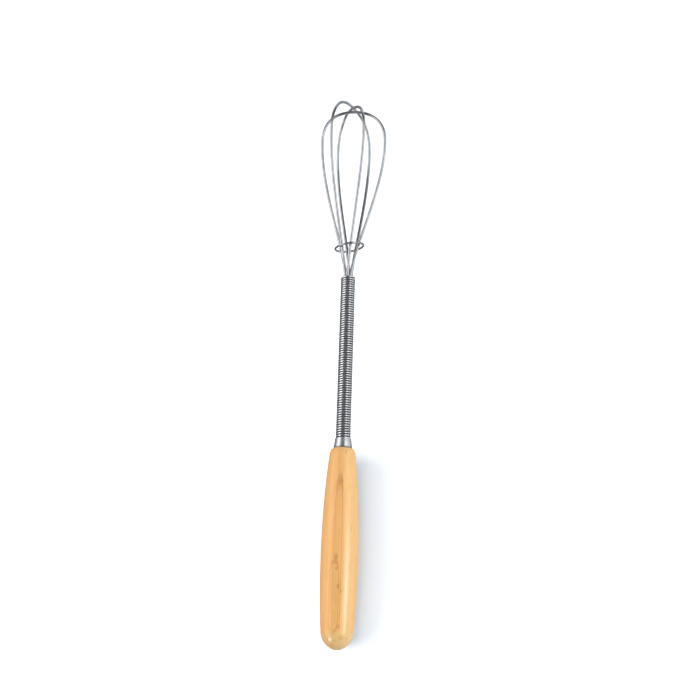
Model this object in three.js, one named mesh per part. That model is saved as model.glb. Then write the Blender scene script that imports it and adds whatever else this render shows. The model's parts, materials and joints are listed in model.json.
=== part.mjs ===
// Mini whisk with a turned beech handle, a coil-wrapped stem, a balloon of three wire loops and a loose neck ring.
// Millimetres, +Z up. The whisk lies on a table along Y, with the butt of its handle at -Y.
// It is built about its own stem axis, +Y, from the butt at zero, and is then laid on its handle and its balloon.
import * as THREE from "three";

// Handle
const HANDLE_LENGTH = 67.3;
const BUTT_FLAT_RADIUS = 1;
const BUTT_RADIUS = 5.55;
const BUTT_HEIGHT = 6;
const BUTT_CORNER = 1.6;
const BELLY_RADIUS = 6.4;
const BELLY_STATION = 31;
const SHOULDER_WIDTH = 0.96;
const SHOULDER_HEIGHT = 2.2;
const SHOULDER_CORNER = 0.5;
const BORE_DEPTH = 24;

// Balloon wires, from the mouth of the stem coil upwards
const WIRE = 1.1;
const WIRE_GAP = 0.04;
const BALLOON_LENGTH = 70.75;
const BALLOON_HALF_WIDTH = 12;
const WIDEST_HEIGHT = 55;
const NECK_PULL = 11.7;
const NECK_FLARE = 0.94;
const NECK_TWIST = 34.5;
const BOW_PULL = 19.6;
const CROWN_FULLNESS = 0.64;
const CROWN_GAP = 0.15;

// The loops from the lowest crown to the top one. Each bow turns from +X towards +Z, and its crown leans up towards
// that side, both in degrees. The hand-bent bow also stands off the stem's line along X by its shift.
// The legs are twisted on from the bows.
const LOOPS = [
  { name: "loop_wire_low", turn: -4, lean: 0, shift: 0.48 },
  { name: "loop_wire_middle", turn: 59, lean: -10.5, shift: -0.74 },
  { name: "loop_wire_top", turn: 120.5, lean: 9, shift: -0.59 },
];

// Stem coil, drawn more open than its close-wound turns are
const COIL_LENGTH = 60.3;
const COIL_WIRE = 0.82;
const COIL_GAP = 0.45;
const COIL_CLEARANCE = 0.04;

// Ferrule
const FERRULE_HEIGHT = 3.5;
const FERRULE_WALL = 0.1;
const FERRULE_FLARE = 0.5;
const FERRULE_FLOOR = 0.6;
const FERRULE_CLEARANCE = 0.06;
const SPIGOT_LENGTH = 4;
const SPIGOT_WALL = 0.8;
const SPIGOT_CLEARANCE = 0.1;
const WIRE_HOLE_CLEARANCE = 0.15;
const SEAT_GAP = 0.1;
const FACE_MARGIN = 0.3;

// Neck ring, hung on the upper wires
const RING_HEIGHT = 12;
const RING_WIRE = 0.8;
const RING_SLACK = 0.82;
const RING_SEAT = 0.25;
const RING_SWING = 9;
const RING_LEAN = 6;

// Adhesive round the wire ends
const PLUG_FLOOR = 2.4;
const PLUG_HEADROOM = 5.9;
const PLUG_CLEARANCE = 0.1;

// Fineness of the faceted surfaces
const HANDLE_SIDES = 32;
const HANDLE_CURVE_STEPS = 6;
const FERRULE_SIDES = 24;
const PLUG_SIDES = 16;
const WIRE_SIDES = 8;
const LEG_STEPS = 1;
const BOW_STEPS = 12;
const COIL_SIDES = 5;
const COIL_STEPS = 8;
const RING_SIDES = 8;
const RING_STEPS = 36;
const SEARCH_STEP = 1e-7;

// Radii across the stem, each from the piece that it goes round
const bundleRadius = WIRE + WIRE_GAP;
const bundleOuter = bundleRadius + WIRE / 2;
const coilFlat = (COIL_WIRE / 2) * Math.cos(Math.PI / COIL_SIDES);
const coilRadius = (bundleOuter + COIL_CLEARANCE + coilFlat) / Math.cos(Math.PI / COIL_STEPS);
const ferruleBore = coilRadius + COIL_WIRE / 2 + FERRULE_CLEARANCE;
const ferruleTop = ferruleBore + FERRULE_WALL;
const ferruleBase = ferruleTop + FERRULE_FLARE;
const wireHole = bundleOuter + WIRE_HOLE_CLEARANCE;
const spigotRadius = wireHole + SPIGOT_WALL;
const boreRadius = spigotRadius + SPIGOT_CLEARANCE;
const faceRadius = ferruleBase + FACE_MARGIN;
const neckRadius = faceRadius + SHOULDER_WIDTH;

// Stations along the stem, from the butt
const boreFloor = HANDLE_LENGTH - BORE_DEPTH;
const plugBottom = boreFloor + PLUG_CLEARANCE;
const wireEnd = plugBottom + PLUG_FLOOR + PLUG_CLEARANCE;
const ferruleSeat = HANDLE_LENGTH + SEAT_GAP;
const spigotBottom = ferruleSeat - SPIGOT_LENGTH;
const plugTop = spigotBottom - PLUG_HEADROOM;
const ferruleRim = ferruleSeat + FERRULE_HEIGHT;
const coilBottom = ferruleSeat + FERRULE_FLOOR + SEAT_GAP;
const coilMouth = ferruleRim + COIL_LENGTH;
const widest = coilMouth + WIDEST_HEIGHT;
const topCrown = coilMouth + BALLOON_LENGTH - WIRE / 2;
const crownStep = WIRE + CROWN_GAP;
const ringStation = coilMouth + RING_HEIGHT;

function named(name, geometry, color, roughness, metalness) {
  const material = new THREE.MeshStandardMaterial({ color, roughness, metalness });
  const mesh = new THREE.Mesh(geometry, material);
  mesh.name = name;
  return mesh;
}

// Turned handle with a blind bore from its shoulder. Each side is a parabola that stands straight at the belly,
// and the butt and the shoulder round off along the side's own slope.
function handleGeometry() {
  const neckStation = HANDLE_LENGTH - SHOULDER_HEIGHT;
  const lowerBend = new THREE.Vector2(BELLY_RADIUS, (BUTT_HEIGHT + BELLY_STATION) / 2);
  const upperBend = new THREE.Vector2(BELLY_RADIUS, (BELLY_STATION + neckStation) / 2);
  const buttSlope = (BELLY_RADIUS - BUTT_RADIUS) / (lowerBend.y - BUTT_HEIGHT);
  const neckSlope = (neckRadius - BELLY_RADIUS) / (neckStation - upperBend.y);
  const buttCorner = BUTT_RADIUS - buttSlope * (BUTT_HEIGHT - BUTT_CORNER);
  const shoulderCorner = neckRadius + neckSlope * (SHOULDER_HEIGHT - SHOULDER_CORNER);
  const outline = new THREE.Path();
  outline.moveTo(0, 0);
  outline.lineTo(BUTT_FLAT_RADIUS, 0);
  outline.quadraticCurveTo(buttCorner, BUTT_CORNER, BUTT_RADIUS, BUTT_HEIGHT);
  outline.quadraticCurveTo(lowerBend.x, lowerBend.y, BELLY_RADIUS, BELLY_STATION);
  outline.quadraticCurveTo(upperBend.x, upperBend.y, neckRadius, neckStation);
  outline.quadraticCurveTo(shoulderCorner, HANDLE_LENGTH - SHOULDER_CORNER, faceRadius, HANDLE_LENGTH);
  outline.lineTo(boreRadius, HANDLE_LENGTH);
  outline.lineTo(boreRadius, boreFloor);
  outline.lineTo(0, boreFloor);
  return new THREE.LatheGeometry(outline.getPoints(HANDLE_CURVE_STEPS), HANDLE_SIDES);
}

// A ring turned from a closed outline of [radius, station] corners
function turnedRing(corners, sides) {
  const points = corners.map(([radius, station]) => new THREE.Vector2(radius, station));
  return new THREE.LatheGeometry([...points, points[0]], sides);
}

// Conical collar on the end of the wood, with a cup for the coil and a spigot down the bore
function ferruleGeometry() {
  const corners = [
    [wireHole, spigotBottom],
    [spigotRadius, spigotBottom],
    [spigotRadius, ferruleSeat],
    [ferruleBase, ferruleSeat],
    [ferruleTop, ferruleRim],
    [ferruleBore, ferruleRim],
    [ferruleBore, ferruleSeat + FERRULE_FLOOR],
    [wireHole, ferruleSeat + FERRULE_FLOOR],
  ];
  return turnedRing(corners, FERRULE_SIDES);
}

// Set adhesive: a cup round the bundle of wire ends, on the floor of the bore
function plugGeometry() {
  const corners = [
    [0, plugBottom],
    [boreRadius - PLUG_CLEARANCE, plugBottom],
    [boreRadius - PLUG_CLEARANCE, plugTop],
    [bundleOuter + PLUG_CLEARANCE, plugTop],
    [bundleOuter + PLUG_CLEARANCE, plugBottom + PLUG_FLOOR],
    [0, plugBottom + PLUG_FLOOR],
  ];
  const points = corners.map(([radius, station]) => new THREE.Vector2(radius, station));
  return new THREE.LatheGeometry(points, PLUG_SIDES);
}

// Half a loop, from the end of its leg to the middle of its crown
function halfLoop(index, side) {
  const { turn, lean, shift } = LOOPS[index];
  const bowAngle = THREE.MathUtils.degToRad(turn);
  const legAngle = THREE.MathUtils.degToRad(turn + NECK_TWIST);
  const crown = topCrown - (LOOPS.length - 1 - index) * crownStep;
  const rise = CROWN_FULLNESS * (crown - widest);
  const reach = CROWN_FULLNESS * BALLOON_HALF_WIDTH;
  const slope = side * Math.tan(THREE.MathUtils.degToRad(lean));
  const onLeg = (across, station) =>
    new THREE.Vector3(side * across * Math.cos(legAngle), station, side * across * Math.sin(legAngle));
  const onBow = (across, station) =>
    new THREE.Vector3(side * across * Math.cos(bowAngle) + shift, station, side * across * Math.sin(bowAngle));
  const mouth = onLeg(bundleRadius, coilMouth);
  const edge = onBow(BALLOON_HALF_WIDTH, widest);
  return {
    leg: new THREE.LineCurve3(onLeg(bundleRadius, wireEnd), mouth),
    bow: new THREE.CubicBezierCurve3(
      mouth,
      onLeg(bundleRadius + NECK_FLARE, coilMouth + NECK_PULL),
      onBow(BALLOON_HALF_WIDTH, widest - BOW_PULL),
      edge,
    ),
    crown: new THREE.CubicBezierCurve3(
      edge,
      onBow(BALLOON_HALF_WIDTH, widest + rise),
      onBow(reach, crown + slope * reach),
      onBow(0, crown),
    ),
  };
}

// A loop's route up one half and down the other. Its stations follow the steps of its curves instead of equal
// lengths, so that a straight leg takes few steps.
class LoopRoute extends THREE.Curve {
  constructor(index) {
    super();
    this.up = halfLoop(index, 1);
    this.down = halfLoop(index, -1);
    this.halfSteps = LEG_STEPS + 2 * BOW_STEPS;
  }

  getUtoTmapping(u) {
    return u;
  }

  getPoint(t, target = new THREE.Vector3()) {
    const { leg, bow, crown } = t < 0.5 ? this.up : this.down;
    const step = (1 - Math.abs(2 * t - 1)) * this.halfSteps;
    if (step < LEG_STEPS) return leg.getPoint(step / LEG_STEPS, target);
    const above = (step - LEG_STEPS) / BOW_STEPS;
    return above < 1 ? bow.getPoint(above, target) : crown.getPoint(Math.min(above - 1, 1), target);
  }
}

function circle(radius, sides) {
  const corner = (_, k) => {
    const angle = (2 * Math.PI * (k + 0.5)) / sides;
    return new THREE.Vector2(radius * Math.cos(angle), radius * Math.sin(angle));
  };
  return new THREE.Shape(Array.from({ length: sides }, corner));
}

function loopGeometry(index) {
  const extrudePath = new LoopRoute(index);
  return new THREE.ExtrudeGeometry(circle(WIRE / 2, WIRE_SIDES), { steps: 2 * extrudePath.halfSteps, extrudePath });
}

// Points along the middle of the coil's wire: a right-handed helix in straight steps
function coilPoints() {
  const rise = coilMouth - coilBottom - COIL_WIRE;
  const turns = Math.floor(rise / (COIL_WIRE + COIL_GAP));
  return Array.from({ length: turns * COIL_STEPS + 1 }, (_, k) => {
    const angle = (2 * Math.PI * k) / COIL_STEPS;
    const station = coilBottom + COIL_WIRE / 2 + (rise * k) / (turns * COIL_STEPS);
    return new THREE.Vector3(coilRadius * Math.cos(angle), station, -coilRadius * Math.sin(angle));
  });
}

// Least distance between the surfaces of neighbouring turns of a tube along these points
function leastGap(points, diameter) {
  let least = Infinity;
  points.forEach((point, k) => {
    for (const other of points.slice(k + COIL_STEPS / 2)) {
      least = Math.min(least, point.distanceTo(other) - diameter);
    }
  });
  return least;
}

// One unbroken tube along the helix, with a corner of its section outwards and a flat towards the stem
function coilGeometry() {
  const points = coilPoints();
  console.log(`least gap of the stem coil to itself: ${leastGap(points, COIL_WIRE).toFixed(3)} mm`);
  const corners = points.flatMap((point, k) => {
    const before = points[Math.max(k - 1, 0)];
    const after = points[Math.min(k + 1, points.length - 1)];
    const along = after.clone().sub(before).normalize();
    const outward = new THREE.Vector3(point.x, 0, point.z).normalize();
    const across = along.clone().cross(outward).normalize();
    return Array.from({ length: COIL_SIDES }, (_, side) => {
      const angle = (2 * Math.PI * side) / COIL_SIDES;
      return point
        .clone()
        .addScaledVector(outward, (COIL_WIRE / 2) * Math.cos(angle))
        .addScaledVector(across, (COIL_WIRE / 2) * Math.sin(angle));
    });
  });
  const faces = [];
  for (let ring = 0; ring < points.length - 1; ring += 1) {
    for (let side = 0; side < COIL_SIDES; side += 1) {
      const a = ring * COIL_SIDES + side;
      const b = ring * COIL_SIDES + ((side + 1) % COIL_SIDES);
      faces.push(a, b, a + COIL_SIDES, b, b + COIL_SIDES, a + COIL_SIDES);
    }
  }
  const last = (points.length - 1) * COIL_SIDES;
  for (let side = 1; side < COIL_SIDES - 1; side += 1) {
    faces.push(0, side + 1, side);
    faces.push(last, last + side, last + side + 1);
  }
  const geometry = new THREE.BufferGeometry().setFromPoints(corners);
  geometry.setIndex(faces);
  geometry.computeVertexNormals();
  return geometry;
}

// Where a rising curve passes a station
function passing(curve, station) {
  let low = 0;
  let high = 1;
  while (high - low > SEARCH_STEP) {
    const middle = (low + high) / 2;
    if (curve.getPoint(middle).y < station) low = middle;
    else high = middle;
  }
  return curve.getPoint(low);
}

// Wire ring round the neck. It hangs on the upper wires, so its middle drops below the stem axis.
function neckRing() {
  const bows = LOOPS.flatMap((_, index) => [halfLoop(index, 1).bow, halfLoop(index, -1).bow]);
  const wires = bows.map((bow) => passing(bow, ringStation));
  const innerRadius = Math.max(...wires.map(({ x, z }) => Math.hypot(x, z))) + WIRE / 2 + RING_SLACK;
  const reach = innerRadius - WIRE / 2 - RING_SEAT;
  const drop = Math.min(...wires.map(({ x, z }) => Math.sqrt(reach ** 2 - x ** 2) - z));
  const geometry = new THREE.TorusGeometry(innerRadius + RING_WIRE / 2, RING_WIRE / 2, RING_SIDES, RING_STEPS);
  geometry.rotateX(Math.PI / 2);
  const ring = named("neck_ring", geometry, 0x8d9196, 0.3, 1);
  ring.position.set(0, ringStation, -drop);
  ring.rotation.set(
    THREE.MathUtils.degToRad(RING_LEAN),
    0,
    THREE.MathUtils.degToRad(RING_SWING),
  );
  return ring;
}

// Lowest point of the pieces once the stem is tilted, with its balloon end raised
function lowest(pieces, tilt) {
  const corner = new THREE.Vector3();
  let least = Infinity;
  for (const { geometry } of pieces) {
    const positions = geometry.getAttribute("position");
    for (let k = 0; k < positions.count; k += 1) {
      corner.fromBufferAttribute(positions, k);
      least = Math.min(least, corner.y * Math.sin(tilt) + corner.z * Math.cos(tilt));
    }
  }
  return least;
}

// Tilt at which the handle and the balloon touch the table together
function restingTilt(handle, loops) {
  let low = -Math.PI / 8;
  let high = Math.PI / 8;
  while (high - low > SEARCH_STEP) {
    const middle = (low + high) / 2;
    if (lowest(loops, middle) < lowest([handle], middle)) low = middle;
    else high = middle;
  }
  return low;
}

const handle = named("handle", handleGeometry(), 0xe9b373, 0.5, 0);
const loops = LOOPS.map(({ name }, index) => named(name, loopGeometry(index), 0xb4b8bd, 0.25, 1));
const ferrule = named("ferrule", ferruleGeometry(), 0xd3d6dc, 0.2, 1);
const coil = named("stem_coil", coilGeometry(), 0xa9adb2, 0.3, 1);
const plug = named("bond_plug", plugGeometry(), 0xd8cc96, 0.6, 0);

const whisk = new THREE.Group();
whisk.add(handle, ferrule, coil, ...loops, neckRing(), plug);
whisk.rotation.x = restingTilt(handle, loops);

// The origin is under the middle of the resting whisk
const part = new THREE.Group();
part.add(whisk);
part.updateMatrixWorld(true);
const box = new THREE.Box3().setFromObject(part, true);
const middle = box.getCenter(new THREE.Vector3());
whisk.position.set(-middle.x, -middle.y, -box.min.z);

export default part;
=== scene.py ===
import json
import math

import bpy
from mathutils import Matrix, Vector


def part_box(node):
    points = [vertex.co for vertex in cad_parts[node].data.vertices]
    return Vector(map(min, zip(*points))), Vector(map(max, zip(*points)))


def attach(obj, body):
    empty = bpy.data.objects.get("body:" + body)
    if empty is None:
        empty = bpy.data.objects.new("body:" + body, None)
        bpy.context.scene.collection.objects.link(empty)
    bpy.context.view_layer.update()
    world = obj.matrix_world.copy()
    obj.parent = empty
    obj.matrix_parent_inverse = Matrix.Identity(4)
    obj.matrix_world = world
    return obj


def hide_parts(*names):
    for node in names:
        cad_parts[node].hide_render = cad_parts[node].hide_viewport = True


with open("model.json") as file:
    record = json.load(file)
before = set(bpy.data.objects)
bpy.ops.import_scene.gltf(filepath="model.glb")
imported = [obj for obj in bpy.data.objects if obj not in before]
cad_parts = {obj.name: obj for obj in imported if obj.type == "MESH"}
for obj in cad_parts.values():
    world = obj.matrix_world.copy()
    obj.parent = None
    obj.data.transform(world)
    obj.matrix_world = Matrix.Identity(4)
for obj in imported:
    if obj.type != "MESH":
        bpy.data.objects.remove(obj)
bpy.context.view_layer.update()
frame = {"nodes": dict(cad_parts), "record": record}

# A mini whisk that lies on a pale table. Its pieces are made in millimetres along the stem: x across,
# y from the butt of the handle towards the balloon, z up from the stem. STEM takes them to their place
# on the table, in metres.
MILLIMETRE = 0.001
butt = frame["record"]["mounts"][0]
stem_along = -Vector(butt["axis"])
stem_tilt = math.atan2(stem_along.z, stem_along.y)
STEM = Matrix.Translation(butt["pos_m"]) @ Matrix.Rotation(stem_tilt, 4, "X") @ Matrix.Scale(MILLIMETRE, 4)

# Handle
HANDLE_LENGTH = 67.3
BUTT_FLAT_RADIUS = 1
BUTT_RADIUS = 5.55
BUTT_HEIGHT = 6
BUTT_CORNER = 1.6
BELLY_RADIUS = 6.4
BELLY_STATION = 31
SHOULDER_WIDTH = 0.96
SHOULDER_HEIGHT = 2.2
SHOULDER_CORNER = 0.5
BORE_DEPTH = 24

# Height of the wire ends over the floor of the bore
WIRE_END_HEIGHT = 2.6

# Balloon wires, from the mouth of the stem coil upwards
WIRE = 1.1
WIRE_GAP = 0.04
BALLOON_LENGTH = 70.75
BALLOON_HALF_WIDTH = 12
WIDEST_HEIGHT = 55
NECK_PULL = 11.7
NECK_FLARE = 0.94
NECK_TWIST = 34.5
BOW_PULL = 19.6
CROWN_FULLNESS = 0.64
CROWN_GAP = 0.15

# The loops from the lowest crown to the top one: the turn of each bow and the lean of its crown,
# in degrees, and its shift off the stem's line
LOOPS = {
    "loop_wire_low": {"turn": -4, "lean": 0, "shift": 0.48},
    "loop_wire_middle": {"turn": 59, "lean": -10.5, "shift": -0.74},
    "loop_wire_top": {"turn": 120.5, "lean": 9, "shift": -0.59},
}

# Stem coil, close-wound
COIL_LENGTH = 60.3
COIL_WIRE = 0.82
COIL_TURNS = 72
COIL_CLEARANCE = 0.13

# Ferrule
FERRULE_HEIGHT = 3.5
FERRULE_WALL = 0.1
FERRULE_FLARE = 0.5
FERRULE_FLOOR = 0.6
FERRULE_CLEARANCE = 0.06
FERRULE_EASE = 0.045
FERRULE_BASE_EASE = 0.45
SPIGOT_LENGTH = 4
SPIGOT_WALL = 0.8
SPIGOT_CLEARANCE = 0.1
WIRE_HOLE_CLEARANCE = 0.15
SEAT_GAP = 0.1
FACE_MARGIN = 0.3

# Neck ring
RING_RADIUS = 5.257
RING_WIRE = 0.8
RING_SWING = 9
RING_LEAN = 6

# Radii across the stem, each from the piece that it goes round
BUNDLE_RADIUS = WIRE + WIRE_GAP
BUNDLE_OUTER = BUNDLE_RADIUS + WIRE / 2
COIL_RADIUS = BUNDLE_OUTER + COIL_CLEARANCE + COIL_WIRE / 2
COIL_OUTER = COIL_RADIUS + COIL_WIRE / 2
FERRULE_BORE = COIL_OUTER + FERRULE_CLEARANCE
FERRULE_TOP_RADIUS = FERRULE_BORE + FERRULE_WALL
FERRULE_BASE_RADIUS = FERRULE_TOP_RADIUS + FERRULE_FLARE
WIRE_HOLE = BUNDLE_OUTER + WIRE_HOLE_CLEARANCE
SPIGOT_RADIUS = WIRE_HOLE + SPIGOT_WALL
BORE_RADIUS = SPIGOT_RADIUS + SPIGOT_CLEARANCE
FACE_RADIUS = FERRULE_BASE_RADIUS + FACE_MARGIN
NECK_RADIUS = FACE_RADIUS + SHOULDER_WIDTH

# Stations along the stem, from the butt
NECK_STATION = HANDLE_LENGTH - SHOULDER_HEIGHT
BORE_FLOOR = HANDLE_LENGTH - BORE_DEPTH
WIRE_END = BORE_FLOOR + WIRE_END_HEIGHT
FERRULE_SEAT = HANDLE_LENGTH + SEAT_GAP
SPIGOT_BOTTOM = FERRULE_SEAT - SPIGOT_LENGTH
CUP_FLOOR = FERRULE_SEAT + FERRULE_FLOOR
FERRULE_RIM = FERRULE_SEAT + FERRULE_HEIGHT
COIL_BOTTOM = CUP_FLOOR + SEAT_GAP
COIL_MOUTH = FERRULE_RIM + COIL_LENGTH
WIDEST = COIL_MOUTH + WIDEST_HEIGHT
CROWN_STEP = WIRE + CROWN_GAP
TOP_CROWN = COIL_MOUTH + BALLOON_LENGTH - WIRE / 2
LOWEST_CROWN = TOP_CROWN - (len(LOOPS) - 1) * CROWN_STEP

# Fineness of the meshes
HANDLE_SIDES = 96
HANDLE_STEPS = 24
FERRULE_SIDES = 96
EASE_STEPS = 4
WIRE_SIDES = 16
BOW_STEPS = 48
COIL_SIDES = 12
COIL_STEPS = 40
RING_SIDES = 16
RING_STEPS = 120
SHARP_ANGLE = math.radians(50)

# Camera and table, in metres, with the lens in millimetres
LENS = 51.43
SENSOR = 36
NEAREST_VIEW = 0.01
CAMERA_AT = Vector((0.04519, -0.1082, 0.34715))
CAMERA_AIM = Vector((-0.00014, 0.00514, -0.00034))
CAMERA_ROLL = math.radians(-21.03)
TABLE_HALF = 0.5

# The room: its light, its picture in polished metal above and below the horizon, and its walls
ROOM_LIGHT = (0.2, 0.26, 0.32, 1)
ROOM_IN_METAL = (0.11, 0.113, 0.117, 1)
LEFT_IN_METAL = (0.28, 0.282, 0.286, 1)
RIGHT_IN_METAL = (0.4, 0.405, 0.41, 1)
PALE_WALL = (0.9, 0.905, 0.91, 1)
SIDE_BLEND = 0.3
HORIZON_BLEND = 0.1

# Softboxes that light the wood, light the table, shine on the wood and are mirrored in the metal:
# where each stands, its two sides, its brightness and its colour
WHITE = (1, 1, 1)
WARM_WHITE = (1, 0.98, 0.94)
COOL_WHITE = (0.97, 0.985, 1)
AMBER = (1, 0.85, 0.73)
PALE_BLUE = (0.62, 0.77, 1)
SKY_BLUE = (0.47, 0.76, 1)
WOOD_LIGHTS = {
    "key": ((-0.35, -0.05, 0.6), (0.9, 0.8), 2.7, WARM_WHITE),
    "top": ((0.05, -0.05, 0.75), (0.7, 0.5), 0.95, WARM_WHITE),
    "side": ((0.72, -0.05, 0.127), (0.8, 0.25), 13.5, PALE_BLUE),
}
TABLE_LIGHTS = {
    "table_left": ((-0.62, -0.05, 0.43), (0.9, 0.4), 6.2, COOL_WHITE),
    "table_top": ((-0.22, -0.05, 0.72), (0.9, 0.62), 2.2, AMBER),
    "table_right": ((0.43, -0.05, 0.61), (0.9, 0.4), 2.9, SKY_BLUE),
}
WOOD_SHINE = {
    "strip": ((0.5, -0.085, 0.335), (0.06, 0.17), 36, WHITE),
    "spot": ((-0.48, -0.6, 0.26), (0.17, 0.17), 28, WHITE),
}
METAL_SHINE = {
    "window": ((-0.57, 0.05, 0.4), (1.1, 0.62), 2, COOL_WHITE),
    "panel": ((0.52, 0.05, 0.46), (1, 0.38), 1.8, COOL_WHITE),
    "wall": ((0.7, 0.1, 0.03), (0.7, 0.5), 0.9, COOL_WHITE),
    "back": ((0, 0.8, 0.12), (0.9, 0.3), 0.8, WHITE),
    "front": ((0, -0.8, 0.25), (0.5, 0.3), 1.2, WHITE),
}

# Noise of the materials: fineness, and grains per millimetre along x, y and z
NOISE_DETAIL = 3
PLAIN_DETAIL = 2
FIBRE_GRAINS = (1.4, 0.035, 1.4)
FLECK_GRAINS = (3.2, 0.22, 3.2)
WANDER_GRAINS = (0.25, 0.03, 0.25)
MOTTLE_GRAINS = (0.6, 0.6, 0.6)
PATCH_GRAINS = (0.3, 0.15, 0.3)
ADHESIVE_GRAINS = (0.8, 0.8, 0.8)
TABLE_GRAINS = (0.02, 0.02, 0.02)

# Beech colours, its sheen, and the spans of noise over which it changes
BEECH_LIGHT = (0.71, 0.37, 0.124, 1)
BEECH_DARK = (0.66, 0.337, 0.11, 1)
BEECH_LINE = (0.48, 0.2, 0.055, 1)
BEECH_FLECK = (0.36, 0.16, 0.05, 1)
BEECH_END = (0.65, 0.4, 0.155, 1)
BEECH_END_DARK = (0.56, 0.31, 0.105, 1)
BEECH_SHEEN = 0.55
BEECH_ROUGHNESS = (0.28, 0.38)
BEECH_BUMP = {"Strength": 0.12, "Distance": 0.0001}
FIBRE_SPAN = (0.3, 0.7)
FIBRE_WIDE_SPAN = (0.2, 0.8)
FLECK_SPAN = (0.62, 0.74)
FLECK_SHARE = 0.4
MOTTLE_SPAN = (0.5, 0.66)

# Growth rings, which lie nearly flat along the handle: their plane, spacing, start, wander and dark late part
GROWTH_PLANE = (0.03, -0.04, 1)
GROWTH_SPACING = 1.92
GROWTH_START = 5.44
GROWTH_WANDER = 0.4
GROWTH_LATE = (0.86, 1)
GROWTH_SHARE = 0.2

# Ovals where the turning cuts the growth rings on top, as middle and half size across and along.
# Their lines grow stronger from left to right.
OVALS = [((-0.8, 17), (1.6, 11)), ((0.1, 26), (1.3, 30))]
OVAL_LINE = 0.34
OVAL_WANDER = 0.1
OVAL_SIDES = (-1.5, 1)
OVAL_SHARES = (0.45, 0.85)

# Knots, as place and radius
KNOTS = [
    ((-0.3, 29.7, 6.4), 1.2),
    ((-0.1, 26, 6.4), 0.6),
    ((0.7, 20.2, 6.25), 0.9),
    ((1.6, 18.6, 6.05), 0.6),
    ((1.1, 7.4, 5.55), 0.6),
    ((1, 55.2, 5.35), 0.6),
    ((1.7, 65.3, 4.1), 0.5),
]
KNOT_STRETCH = (1, 0.6, 1)
KNOT_SHARE = 0.65

# End grain at the butt, with a ragged edge, and at the shoulder
END_SHARE = 0.8
END_BELOW = 1.5
END_ABOVE = 0.8
END_RAGGED = 1
SHOULDER_END = 1

# Metals: clean and dull colours, least roughness, and grains per millimetre of the marks of their making
COLLAR_METAL = {
    "clean": (0.64, 0.64, 0.66, 1),
    "dull": (0.59, 0.59, 0.61, 1),
    "roughness": 0.24,
    "mark_grains": (0.2, 6, 0.2),
}
COIL_METAL = {
    "clean": (0.82, 0.83, 0.85, 1),
    "dull": (0.72, 0.73, 0.75, 1),
    "roughness": 0.18,
    "mark_grains": (2, 2, 2),
}
LOOP_METAL = {
    "clean": (0.61, 0.615, 0.625, 1),
    "dull": (0.51, 0.515, 0.525, 1),
    "roughness": 0.12,
    "mark_grains": (4, 0.1, 4),
}
RING_METAL = {
    "clean": (0.5, 0.505, 0.515, 1),
    "dull": (0.42, 0.425, 0.435, 1),
    "roughness": 0.12,
    "mark_grains": (2, 2, 2),
}
METAL_BUMP = {"Strength": 0.06, "Distance": 0.00005}
PATCH_SPAN = (0.35, 0.7)
MARK_SPAN = (0.25, 0.75)
MARK_ROUGHENING = 2

# Painted shade on the metal, darkening it below the outside of the coil and above the seat of the collar,
# from full to none
PAINTED_SHADE = (0.33, 0.335, 0.34, 1)
GROOVE_DEPTHS = (0.1, 0.02)
FOOT_HEIGHTS = (0.3, 0.75)
FOOT_SHARE = 0.9

# Adhesive and table
ADHESIVE_LIGHT = (0.62, 0.52, 0.24, 1)
ADHESIVE_DARK = (0.5, 0.4, 0.16, 1)
ADHESIVE_SPAN = (0.2, 0.8)
ADHESIVE_ROUGHNESS = (0.35, 0.6)
TABLE_DARK = (0.9, 0.9, 0.91, 1)
TABLE_LIGHT = (0.92, 0.92, 0.93, 1)
TABLE_ROUGHNESS = 0.9


def quadratic(a, b, c, steps):
    """Points of a quadratic curve after its first"""
    shares = [k / steps for k in range(1, steps + 1)]
    return [a * (1 - t) ** 2 + b * 2 * t * (1 - t) + c * t ** 2 for t in shares]


def cubic(a, b, c, d, steps):
    """Points of a cubic curve after its first"""
    shares = [k / steps for k in range(1, steps + 1)]
    return [
        a * (1 - t) ** 3 + b * 3 * t * (1 - t) ** 2 + c * 3 * t ** 2 * (1 - t) + d * t ** 3
        for t in shares
    ]


def turned(outline, sides, closed=False):
    """An outline of radius and station turned round the stem"""
    vertices = []
    rings = []
    for radius, station in outline:
        spokes = sides if radius else 1
        rings.append([len(vertices) + k % spokes for k in range(sides + 1)])
        for k in range(spokes):
            angle = 2 * math.pi * k / sides
            vertices.append(Vector((radius * math.cos(angle), station, radius * math.sin(angle))))
    if closed:
        rings.append(rings[0])
    faces = []
    for low, high in zip(rings, rings[1:]):
        for k in range(sides):
            corners = dict.fromkeys((low[k], high[k], high[k + 1], low[k + 1]))
            faces.append(tuple(corners))
    return vertices, faces


def tube(points, diameter, sides, closed=False):
    """A round wire along points, with flat ends unless it closes on itself"""
    before = points[-1:] + points[:-1] if closed else points[:1] + points[:-1]
    after = points[1:] + points[:1] if closed else points[1:] + points[-1:]
    vertices = []
    normal = (points[1] - points[0]).orthogonal()
    for point, last, following in zip(points, before, after):
        along = (following - last).normalized()
        normal = (normal - along * normal.dot(along)).normalized()
        across = along.cross(normal)
        for k in range(sides):
            angle = 2 * math.pi * k / sides
            outward = normal * math.cos(angle) + across * math.sin(angle)
            vertices.append(point + outward * diameter / 2)
    faces = []
    lengths = len(points) if closed else len(points) - 1
    for length in range(lengths):
        low = length * sides
        high = (length + 1) % len(points) * sides
        for k in range(sides):
            beside = (k + 1) % sides
            faces.append((low + k, low + beside, high + beside, high + k))
    if not closed:
        faces.append(tuple(reversed(range(sides))))
        faces.append(tuple(range(len(vertices) - sides, len(vertices))))
    return vertices, faces


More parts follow.
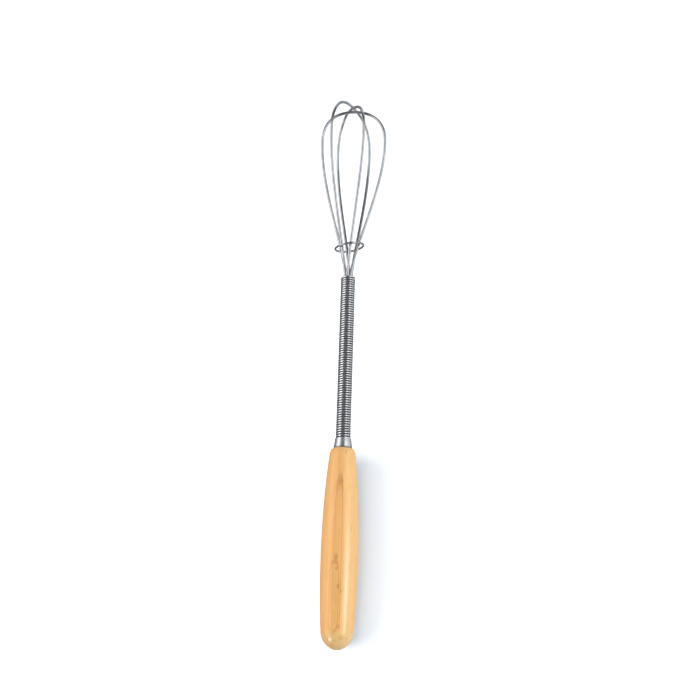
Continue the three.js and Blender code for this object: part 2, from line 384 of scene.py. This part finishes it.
def eased(corners, eases):
    """A closed outline whose corners are rounded off"""
    outline = []
    for k, (corner, ease) in enumerate(zip(corners, eases)):
        from_last = (corners[k - 1] - corner).normalized()
        to_next = (corners[(k + 1) % len(corners)] - corner).normalized()
        start = corner + from_last * ease
        outline += [start, *quadratic(start, corner, corner + to_next * ease, EASE_STEPS)]
    return outline


def handle_shape():
    """The turned wood, with its blind bore"""
    belly = Vector((BELLY_RADIUS, BELLY_STATION))
    side = Vector((BUTT_RADIUS, BUTT_HEIGHT))
    neck = Vector((NECK_RADIUS, NECK_STATION))
    lower_bend = Vector((BELLY_RADIUS, (BUTT_HEIGHT + BELLY_STATION) / 2))
    upper_bend = Vector((BELLY_RADIUS, (BELLY_STATION + NECK_STATION) / 2))
    butt_slope = (lower_bend - side) / (lower_bend - side).y
    neck_slope = (neck - upper_bend) / (neck - upper_bend).y
    butt_bend = side - butt_slope * (BUTT_HEIGHT - BUTT_CORNER)
    shoulder_bend = neck + neck_slope * (SHOULDER_HEIGHT - SHOULDER_CORNER)
    flat = Vector((BUTT_FLAT_RADIUS, 0))
    outline = [
        Vector((0, 0)),
        flat,
        *quadratic(flat, butt_bend, side, HANDLE_STEPS),
        *quadratic(side, lower_bend, belly, HANDLE_STEPS),
        *quadratic(belly, upper_bend, neck, HANDLE_STEPS),
        *quadratic(neck, shoulder_bend, Vector((FACE_RADIUS, HANDLE_LENGTH)), HANDLE_STEPS),
        Vector((BORE_RADIUS, HANDLE_LENGTH)),
        Vector((BORE_RADIUS, BORE_FLOOR)),
        Vector((0, BORE_FLOOR)),
    ]
    return turned(outline, HANDLE_SIDES)


def ferrule_shape():
    """The conical collar, with its cup for the coil and its spigot in the bore"""
    base = Vector((FERRULE_BASE_RADIUS, FERRULE_SEAT))
    corners = [
        Vector((WIRE_HOLE, SPIGOT_BOTTOM)),
        Vector((SPIGOT_RADIUS, SPIGOT_BOTTOM)),
        Vector((SPIGOT_RADIUS, FERRULE_SEAT)),
        base,
        Vector((FERRULE_TOP_RADIUS, FERRULE_RIM)),
        Vector((FERRULE_BORE, FERRULE_RIM)),
        Vector((FERRULE_BORE, CUP_FLOOR)),
        Vector((WIRE_HOLE, CUP_FLOOR)),
    ]
    eases = [FERRULE_BASE_EASE if corner is base else FERRULE_EASE for corner in corners]
    return turned(eased(corners, eases), FERRULE_SIDES, closed=True)


def coil_shape():
    """One unbroken wire wound right-handed, turn on turn"""
    bottom = COIL_BOTTOM + COIL_WIRE / 2
    rise = COIL_MOUTH - COIL_WIRE / 2 - bottom
    count = COIL_TURNS * COIL_STEPS
    points = []
    for k in range(count + 1):
        angle = 2 * math.pi * k / COIL_STEPS
        station = bottom + rise * k / count
        points.append(Vector((COIL_RADIUS * math.cos(angle), station, -COIL_RADIUS * math.sin(angle))))
    return tube(points, COIL_WIRE, COIL_SIDES)


def half_loop(turn, lean, shift, crown, side):
    """Points of half a loop, from the end of its leg to the middle of its crown"""
    bow_turn = math.radians(turn)
    bow_way = Vector((side * math.cos(bow_turn), 0, side * math.sin(bow_turn)))
    leg_turn = math.radians(turn + NECK_TWIST)
    leg_way = Vector((side * math.cos(leg_turn), 0, side * math.sin(leg_turn)))

    def on_leg(across, station):
        return leg_way * across + Vector((0, station, 0))

    def on_bow(across, station):
        return bow_way * across + Vector((shift, station, 0))

    mouth = on_leg(BUNDLE_RADIUS, COIL_MOUTH)
    edge = on_bow(BALLOON_HALF_WIDTH, WIDEST)
    neck = on_leg(BUNDLE_RADIUS + NECK_FLARE, COIL_MOUTH + NECK_PULL)
    swell = on_bow(BALLOON_HALF_WIDTH, WIDEST - BOW_PULL)
    rise = on_bow(BALLOON_HALF_WIDTH, WIDEST + CROWN_FULLNESS * (crown - WIDEST))
    reach = CROWN_FULLNESS * BALLOON_HALF_WIDTH
    round_over = on_bow(reach, crown + side * math.tan(math.radians(lean)) * reach)
    return [
        on_leg(BUNDLE_RADIUS, WIRE_END),
        mouth,
        *cubic(mouth, neck, swell, edge, BOW_STEPS),
        *cubic(edge, rise, round_over, on_bow(0, crown), BOW_STEPS),
    ]


def loop_shape(**loop):
    """One wire up the stem, round the balloon and down the stem again"""
    up = half_loop(**loop, side=1)
    down = half_loop(**loop, side=-1)
    return tube(up + down[-2::-1], WIRE, WIRE_SIDES)


def ring_shape():
    """The loose ring, where its solid hangs"""
    low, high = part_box("neck_ring")
    middle = STEM.inverted() @ ((low + high) / 2)
    lean = Matrix.Rotation(math.radians(RING_LEAN), 3, "X")
    attitude = lean @ Matrix.Rotation(math.radians(RING_SWING), 3, "Z")
    angles = [2 * math.pi * k / RING_STEPS for k in range(RING_STEPS)]
    points = [middle + attitude @ Vector((math.cos(a), 0, -math.sin(a))) * RING_RADIUS for a in angles]
    return tube(points, RING_WIRE, RING_SIDES, closed=True)


def piece(node_name, shape, body, material):
    """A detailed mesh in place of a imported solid"""
    vertices, faces = shape
    mesh = bpy.data.meshes.new(node_name + "_fine")
    mesh.from_pydata([STEM @ vertex for vertex in vertices], [], faces)
    mesh.shade_smooth()
    mesh.set_sharp_from_angle(angle=SHARP_ANGLE)
    mesh.materials.append(material)
    made = bpy.data.objects.new(mesh.name, mesh)
    bpy.context.scene.collection.objects.link(made)
    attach(made, body)
    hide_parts(node_name)
    return made


def new_material(name):
    """A material with its node tree and its shader"""
    material = bpy.data.materials.new(name)
    material.use_nodes = True
    return material, material.node_tree, material.node_tree.nodes["Principled BSDF"]


def add(tree, kind, inputs, **settings):
    """A shader node with its settings, and its inputs as values or as other nodes' outputs"""
    made = tree.nodes.new("ShaderNode" + kind)
    for name, value in settings.items():
        setattr(made, name, value)
    for name, value in inputs.items():
        if isinstance(value, bpy.types.NodeSocket):
            tree.links.new(value, made.inputs[name])
        else:
            made.inputs[name].default_value = value
    return made


def math_node(tree, operation, first, second=0):
    """Arithmetic on numbers"""
    return add(tree, "Math", {0: first, 1: second}, operation=operation).outputs["Value"]


def vector_node(tree, operation, first, second=(0, 0, 0)):
    """Arithmetic on places, which gives a number where it measures them"""
    made = add(tree, "VectorMath", {0: first, 1: second}, operation=operation)
    measures = operation in ("LENGTH", "DISTANCE", "DOT_PRODUCT")
    return made.outputs["Value" if measures else "Vector"]


def stem_place(tree):
    """Coordinates along the stem, in millimetres"""
    place = add(tree, "TexCoord", {}).outputs["Object"]
    settings = {"Location": butt["pos_m"], "Rotation": (stem_tilt, 0, 0), "Scale": [MILLIMETRE] * 3}
    return add(tree, "Mapping", {"Vector": place, **settings}, vector_type="TEXTURE").outputs["Vector"]


def noise(tree, place, grains, detail=NOISE_DETAIL):
    """Noise from 0 to 1 whose grains per millimetre differ along x, y and z"""
    stretched = add(tree, "Mapping", {"Vector": place, "Scale": grains}).outputs["Vector"]
    return add(tree, "TexNoise", {"Vector": stretched, "Scale": 1, "Detail": detail}).outputs["Fac"]


def span(tree, value, low, high, start=0, end=1):
    """A value taken smoothly from one span to another"""
    inputs = {"Value": value, "From Min": low, "From Max": high, "To Min": start, "To Max": end}
    return add(tree, "MapRange", inputs, interpolation_type="SMOOTHSTEP").outputs["Result"]


def mix(tree, share, under, over):
    """One colour laid over another"""
    inputs = {"Fac": share, "Color1": under, "Color2": over}
    return add(tree, "MixRGB", inputs).outputs["Color"]


def add_relief(tree, shader, height, bump):
    """Fine relief on a shader's surface"""
    relief = add(tree, "Bump", {"Height": height, **bump}).outputs["Normal"]
    tree.links.new(relief, shader.inputs["Normal"])


def growth_rings(tree, place, wander):
    """Share of the dark late part of the growth rings"""
    depth = vector_node(tree, "DOT_PRODUCT", place, GROWTH_PLANE)
    depth = math_node(tree, "ADD", depth, span(tree, wander, 0, 1, -GROWTH_WANDER, GROWTH_WANDER))
    depth = math_node(tree, "SUBTRACT", depth, GROWTH_START)
    phase = math_node(tree, "FRACT", math_node(tree, "DIVIDE", depth, GROWTH_SPACING))
    return span(tree, phase, *GROWTH_LATE, 0, GROWTH_SHARE)


def oval(tree, place, wander, middle, half_size):
    """Share of a thin line round a long oval of the grain with straight sides"""
    across, along = half_size
    centred = vector_node(tree, "SUBTRACT", place, (*middle, 0))
    share = vector_node(tree, "MULTIPLY", centred, (1 / across, 1 / along, 0))
    reach = vector_node(tree, "LENGTH", vector_node(tree, "MULTIPLY", share, share))
    inward = span(tree, wander, 0, 1, -1 - OVAL_WANDER, -1 + OVAL_WANDER)
    away = math_node(tree, "ABSOLUTE", math_node(tree, "ADD", reach, inward))
    line = span(tree, away, 0, OVAL_LINE / across, 1, 0)
    x = add(tree, "SeparateXYZ", {"Vector": place}).outputs["X"]
    return math_node(tree, "MULTIPLY", line, span(tree, x, *OVAL_SIDES, *OVAL_SHARES))


def knot(tree, place, middle, radius):
    """Share of a knot, drawn out along the grain"""
    stretched = vector_node(tree, "MULTIPLY", place, KNOT_STRETCH)
    away = vector_node(tree, "DISTANCE", stretched, Vector(middle) * Vector(KNOT_STRETCH))
    return span(tree, away, 0, radius, KNOT_SHARE, 0)


def end_grain(tree, place, fibres, color):
    """The wood's colour with mottled end grain over its butt and plain end grain over its shoulder"""
    station = add(tree, "SeparateXYZ", {"Vector": place}).outputs["Y"]
    ragged = math_node(tree, "ADD", station, span(tree, fibres, *FIBRE_WIDE_SPAN, -END_RAGGED, END_RAGGED))
    mottle = noise(tree, place, MOTTLE_GRAINS, PLAIN_DETAIL)
    mottled = mix(tree, span(tree, mottle, *MOTTLE_SPAN), BEECH_END, BEECH_END_DARK)
    at_butt = span(tree, ragged, BUTT_HEIGHT - END_BELOW, BUTT_HEIGHT + END_ABOVE, END_SHARE, 0)
    color = mix(tree, at_butt, color, mottled)
    at_shoulder = span(tree, station, HANDLE_LENGTH - SHOULDER_END, HANDLE_LENGTH, 0, END_SHARE)
    return mix(tree, at_shoulder, color, BEECH_END)


def beech():
    """Oiled beech with its fibres, growth rings, flecks, knots and end grain"""
    material, tree, shader = new_material("beech_wood")
    place = stem_place(tree)
    fibres = noise(tree, place, FIBRE_GRAINS)
    flecks = noise(tree, place, FLECK_GRAINS, PLAIN_DETAIL)
    wander = noise(tree, place, WANDER_GRAINS, PLAIN_DETAIL)
    color = mix(tree, span(tree, fibres, *FIBRE_SPAN), BEECH_LIGHT, BEECH_DARK)
    color = mix(tree, growth_rings(tree, place, wander), color, BEECH_LINE)
    color = mix(tree, span(tree, flecks, *FLECK_SPAN, 0, FLECK_SHARE), color, BEECH_FLECK)
    for middle, half_size in OVALS:
        color = mix(tree, oval(tree, place, wander, middle, half_size), color, BEECH_LINE)
    for middle, radius in KNOTS:
        color = mix(tree, knot(tree, place, middle, radius), color, BEECH_FLECK)
    tree.links.new(end_grain(tree, place, fibres, color), shader.inputs["Base Color"])
    roughness = span(tree, fibres, *FIBRE_WIDE_SPAN, *BEECH_ROUGHNESS)
    tree.links.new(roughness, shader.inputs["Roughness"])
    add_relief(tree, shader, fibres, BEECH_BUMP)
    shader.inputs["Specular IOR Level"].default_value = BEECH_SHEEN
    return material


def groove_shade(tree, place):
    """Share of painted shade in the grooves between the turns of the coil, where the turns shade each other
    """
    full, none = GROOVE_DEPTHS
    radius = vector_node(tree, "LENGTH", vector_node(tree, "MULTIPLY", place, (1, 0, 1)))
    # Painted shade: darker below the outer crest of each turn
    return span(tree, radius, COIL_OUTER - full, COIL_OUTER - none, 1, 0)


def foot_shade(tree, place):
    """Share of painted shade and painted reflection of the wood round the foot of the collar"""
    full, none = FOOT_HEIGHTS
    station = add(tree, "SeparateXYZ", {"Vector": place}).outputs["Y"]
    # Painted shade: darker just above the seat, where the collar meets the wood
    return span(tree, station, FERRULE_SEAT + full, FERRULE_SEAT + none, FOOT_SHARE, 0)


def bright_steel(name, clean, dull, roughness, mark_grains, painted_shade=None):
    """Bright metal with faint dull patches, the fine marks of its making and perhaps painted shade"""
    material, tree, shader = new_material(name)
    place = stem_place(tree)
    patches = noise(tree, place, PATCH_GRAINS)
    marks = noise(tree, place, mark_grains, PLAIN_DETAIL)
    color = mix(tree, span(tree, patches, *PATCH_SPAN), clean, dull)
    if painted_shade:
        # Painted shade: the metal's colour darkened where shade falls on it
        color = mix(tree, painted_shade(tree, place), color, PAINTED_SHADE)
    tree.links.new(color, shader.inputs["Base Color"])
    marked = span(tree, marks, *MARK_SPAN, roughness, MARK_ROUGHENING * roughness)
    tree.links.new(marked, shader.inputs["Roughness"])
    add_relief(tree, shader, marks, METAL_BUMP)
    shader.inputs["Metallic"].default_value = 1
    return material


def adhesive():
    """Cloudy set adhesive"""
    material, tree, shader = new_material("set_adhesive")
    cloud = noise(tree, stem_place(tree), ADHESIVE_GRAINS)
    tree.links.new(mix(tree, cloud, ADHESIVE_LIGHT, ADHESIVE_DARK), shader.inputs["Base Color"])
    tree.links.new(span(tree, cloud, *ADHESIVE_SPAN, *ADHESIVE_ROUGHNESS), shader.inputs["Roughness"])
    return material


def pale_table():
    """Matt white with a faint cloud in it"""
    material, tree, shader = new_material("pale_table")
    cloud = noise(tree, stem_place(tree), TABLE_GRAINS)
    tree.links.new(mix(tree, cloud, TABLE_DARK, TABLE_LIGHT), shader.inputs["Base Color"])
    shader.inputs["Roughness"].default_value = TABLE_ROUGHNESS
    return material


def softbox(name, at, size, brightness, color):
    """A rectangular light aimed at the middle of the whisk, as bright whatever its size"""
    light = bpy.data.lights.new(name, "AREA")
    light.shape = "RECTANGLE"
    light.size, light.size_y = size
    light.energy = math.pi * light.size * light.size_y * brightness
    light.color = color
    made = bpy.data.objects.new(name, light)
    made.location = at
    made.rotation_euler = (-made.location).to_track_quat("-Z", "Y").to_euler()
    bpy.context.scene.collection.objects.link(made)
    return made


def lights(wood, table):
    """The softboxes, each kept to what it is for; only the wood shades the table"""
    for name, settings in {**WOOD_LIGHTS, **TABLE_LIGHTS}.items():
        made = softbox(name, *settings)
        made.visible_glossy = False
        made.light_linking.receiver_collection = wood if name in WOOD_LIGHTS else table
        made.light_linking.blocker_collection = wood
        # With it on, wires that cast no shade still darken the table beside them
        made.data.cycles.use_multiple_importance_sampling = False
    for name, settings in {**WOOD_SHINE, **METAL_SHINE}.items():
        made = softbox(name, *settings)
        made.visible_diffuse = False
        if name in WOOD_SHINE:
            made.light_linking.receiver_collection = wood


def group(name, *members):
    """A named set of objects"""
    made = bpy.data.collections.new(name)
    for member in members:
        made.objects.link(member)
    return made


def room():
    """Pale walls to the eye, with little light of their own and a dim picture in polished surfaces"""
    world = bpy.data.worlds.new("room")
    world.use_nodes = True
    tree = world.node_tree
    tree.nodes.clear()
    ray = add(tree, "LightPath", {}).outputs
    way = add(tree, "SeparateXYZ", {"Vector": add(tree, "TexCoord", {}).outputs["Generated"]}).outputs
    below = mix(tree, span(tree, way["X"], -SIDE_BLEND, SIDE_BLEND), LEFT_IN_METAL, RIGHT_IN_METAL)
    mirrored = mix(tree, span(tree, way["Z"], -HORIZON_BLEND, HORIZON_BLEND), below, ROOM_IN_METAL)
    color = mix(tree, ray["Is Glossy Ray"], ROOM_LIGHT, mirrored)
    color = mix(tree, ray["Is Camera Ray"], color, PALE_WALL)
    walls = add(tree, "Background", {"Color": color}).outputs["Background"]
    add(tree, "OutputWorld", {"Surface": walls})
    bpy.context.scene.world = world


def table_top():
    """The table that the whisk lies on"""
    mesh = bpy.data.meshes.new("table")
    corners = [(x * TABLE_HALF, y * TABLE_HALF, 0) for x, y in ((-1, -1), (1, -1), (1, 1), (-1, 1))]
    mesh.from_pydata(corners, [], [(0, 1, 2, 3)])
    mesh.materials.append(pale_table())
    made = bpy.data.objects.new("table", mesh)
    bpy.context.scene.collection.objects.link(made)
    made.visible_glossy = False
    return made


def camera():
    """The photograph's view"""
    lens = bpy.data.cameras.new("camera")
    lens.lens = LENS
    lens.sensor_width = SENSOR
    lens.clip_start = NEAREST_VIEW
    made = bpy.data.objects.new("camera", lens)
    made.location = CAMERA_AT
    aimed = (CAMERA_AIM - CAMERA_AT).to_track_quat("-Z", "Y").to_matrix()
    view = aimed @ Matrix.Rotation(CAMERA_ROLL, 3, "Z")
    made.rotation_euler = view.to_euler()
    bpy.context.scene.collection.objects.link(made)
    bpy.context.scene.camera = made
    bpy.context.scene.view_settings.view_transform = "Standard"


handle = piece("handle", handle_shape(), "whisk", beech())
collar = bright_steel("plated_collar", **COLLAR_METAL, painted_shade=foot_shade)
piece("ferrule", ferrule_shape(), "whisk", collar)
coil_wire = bright_steel("coil_wire", **COIL_METAL, painted_shade=groove_shade)
piece("stem_coil", coil_shape(), "whisk", coil_wire)
loop_wire = bright_steel("loop_wire", **LOOP_METAL)
for index, (loop_name, loop) in enumerate(LOOPS.items()):
    shape = loop_shape(**loop, crown=LOWEST_CROWN + index * CROWN_STEP)
    piece(loop_name, shape, "whisk", loop_wire)
ring_wire = bright_steel("ring_wire", **RING_METAL)
piece("neck_ring", ring_shape(), "ring", ring_wire)
frame["nodes"]["bond_plug"].data.materials.clear()
frame["nodes"]["bond_plug"].data.materials.append(adhesive())
lights(group("wood", handle), group("table", table_top()))
room()
camera()
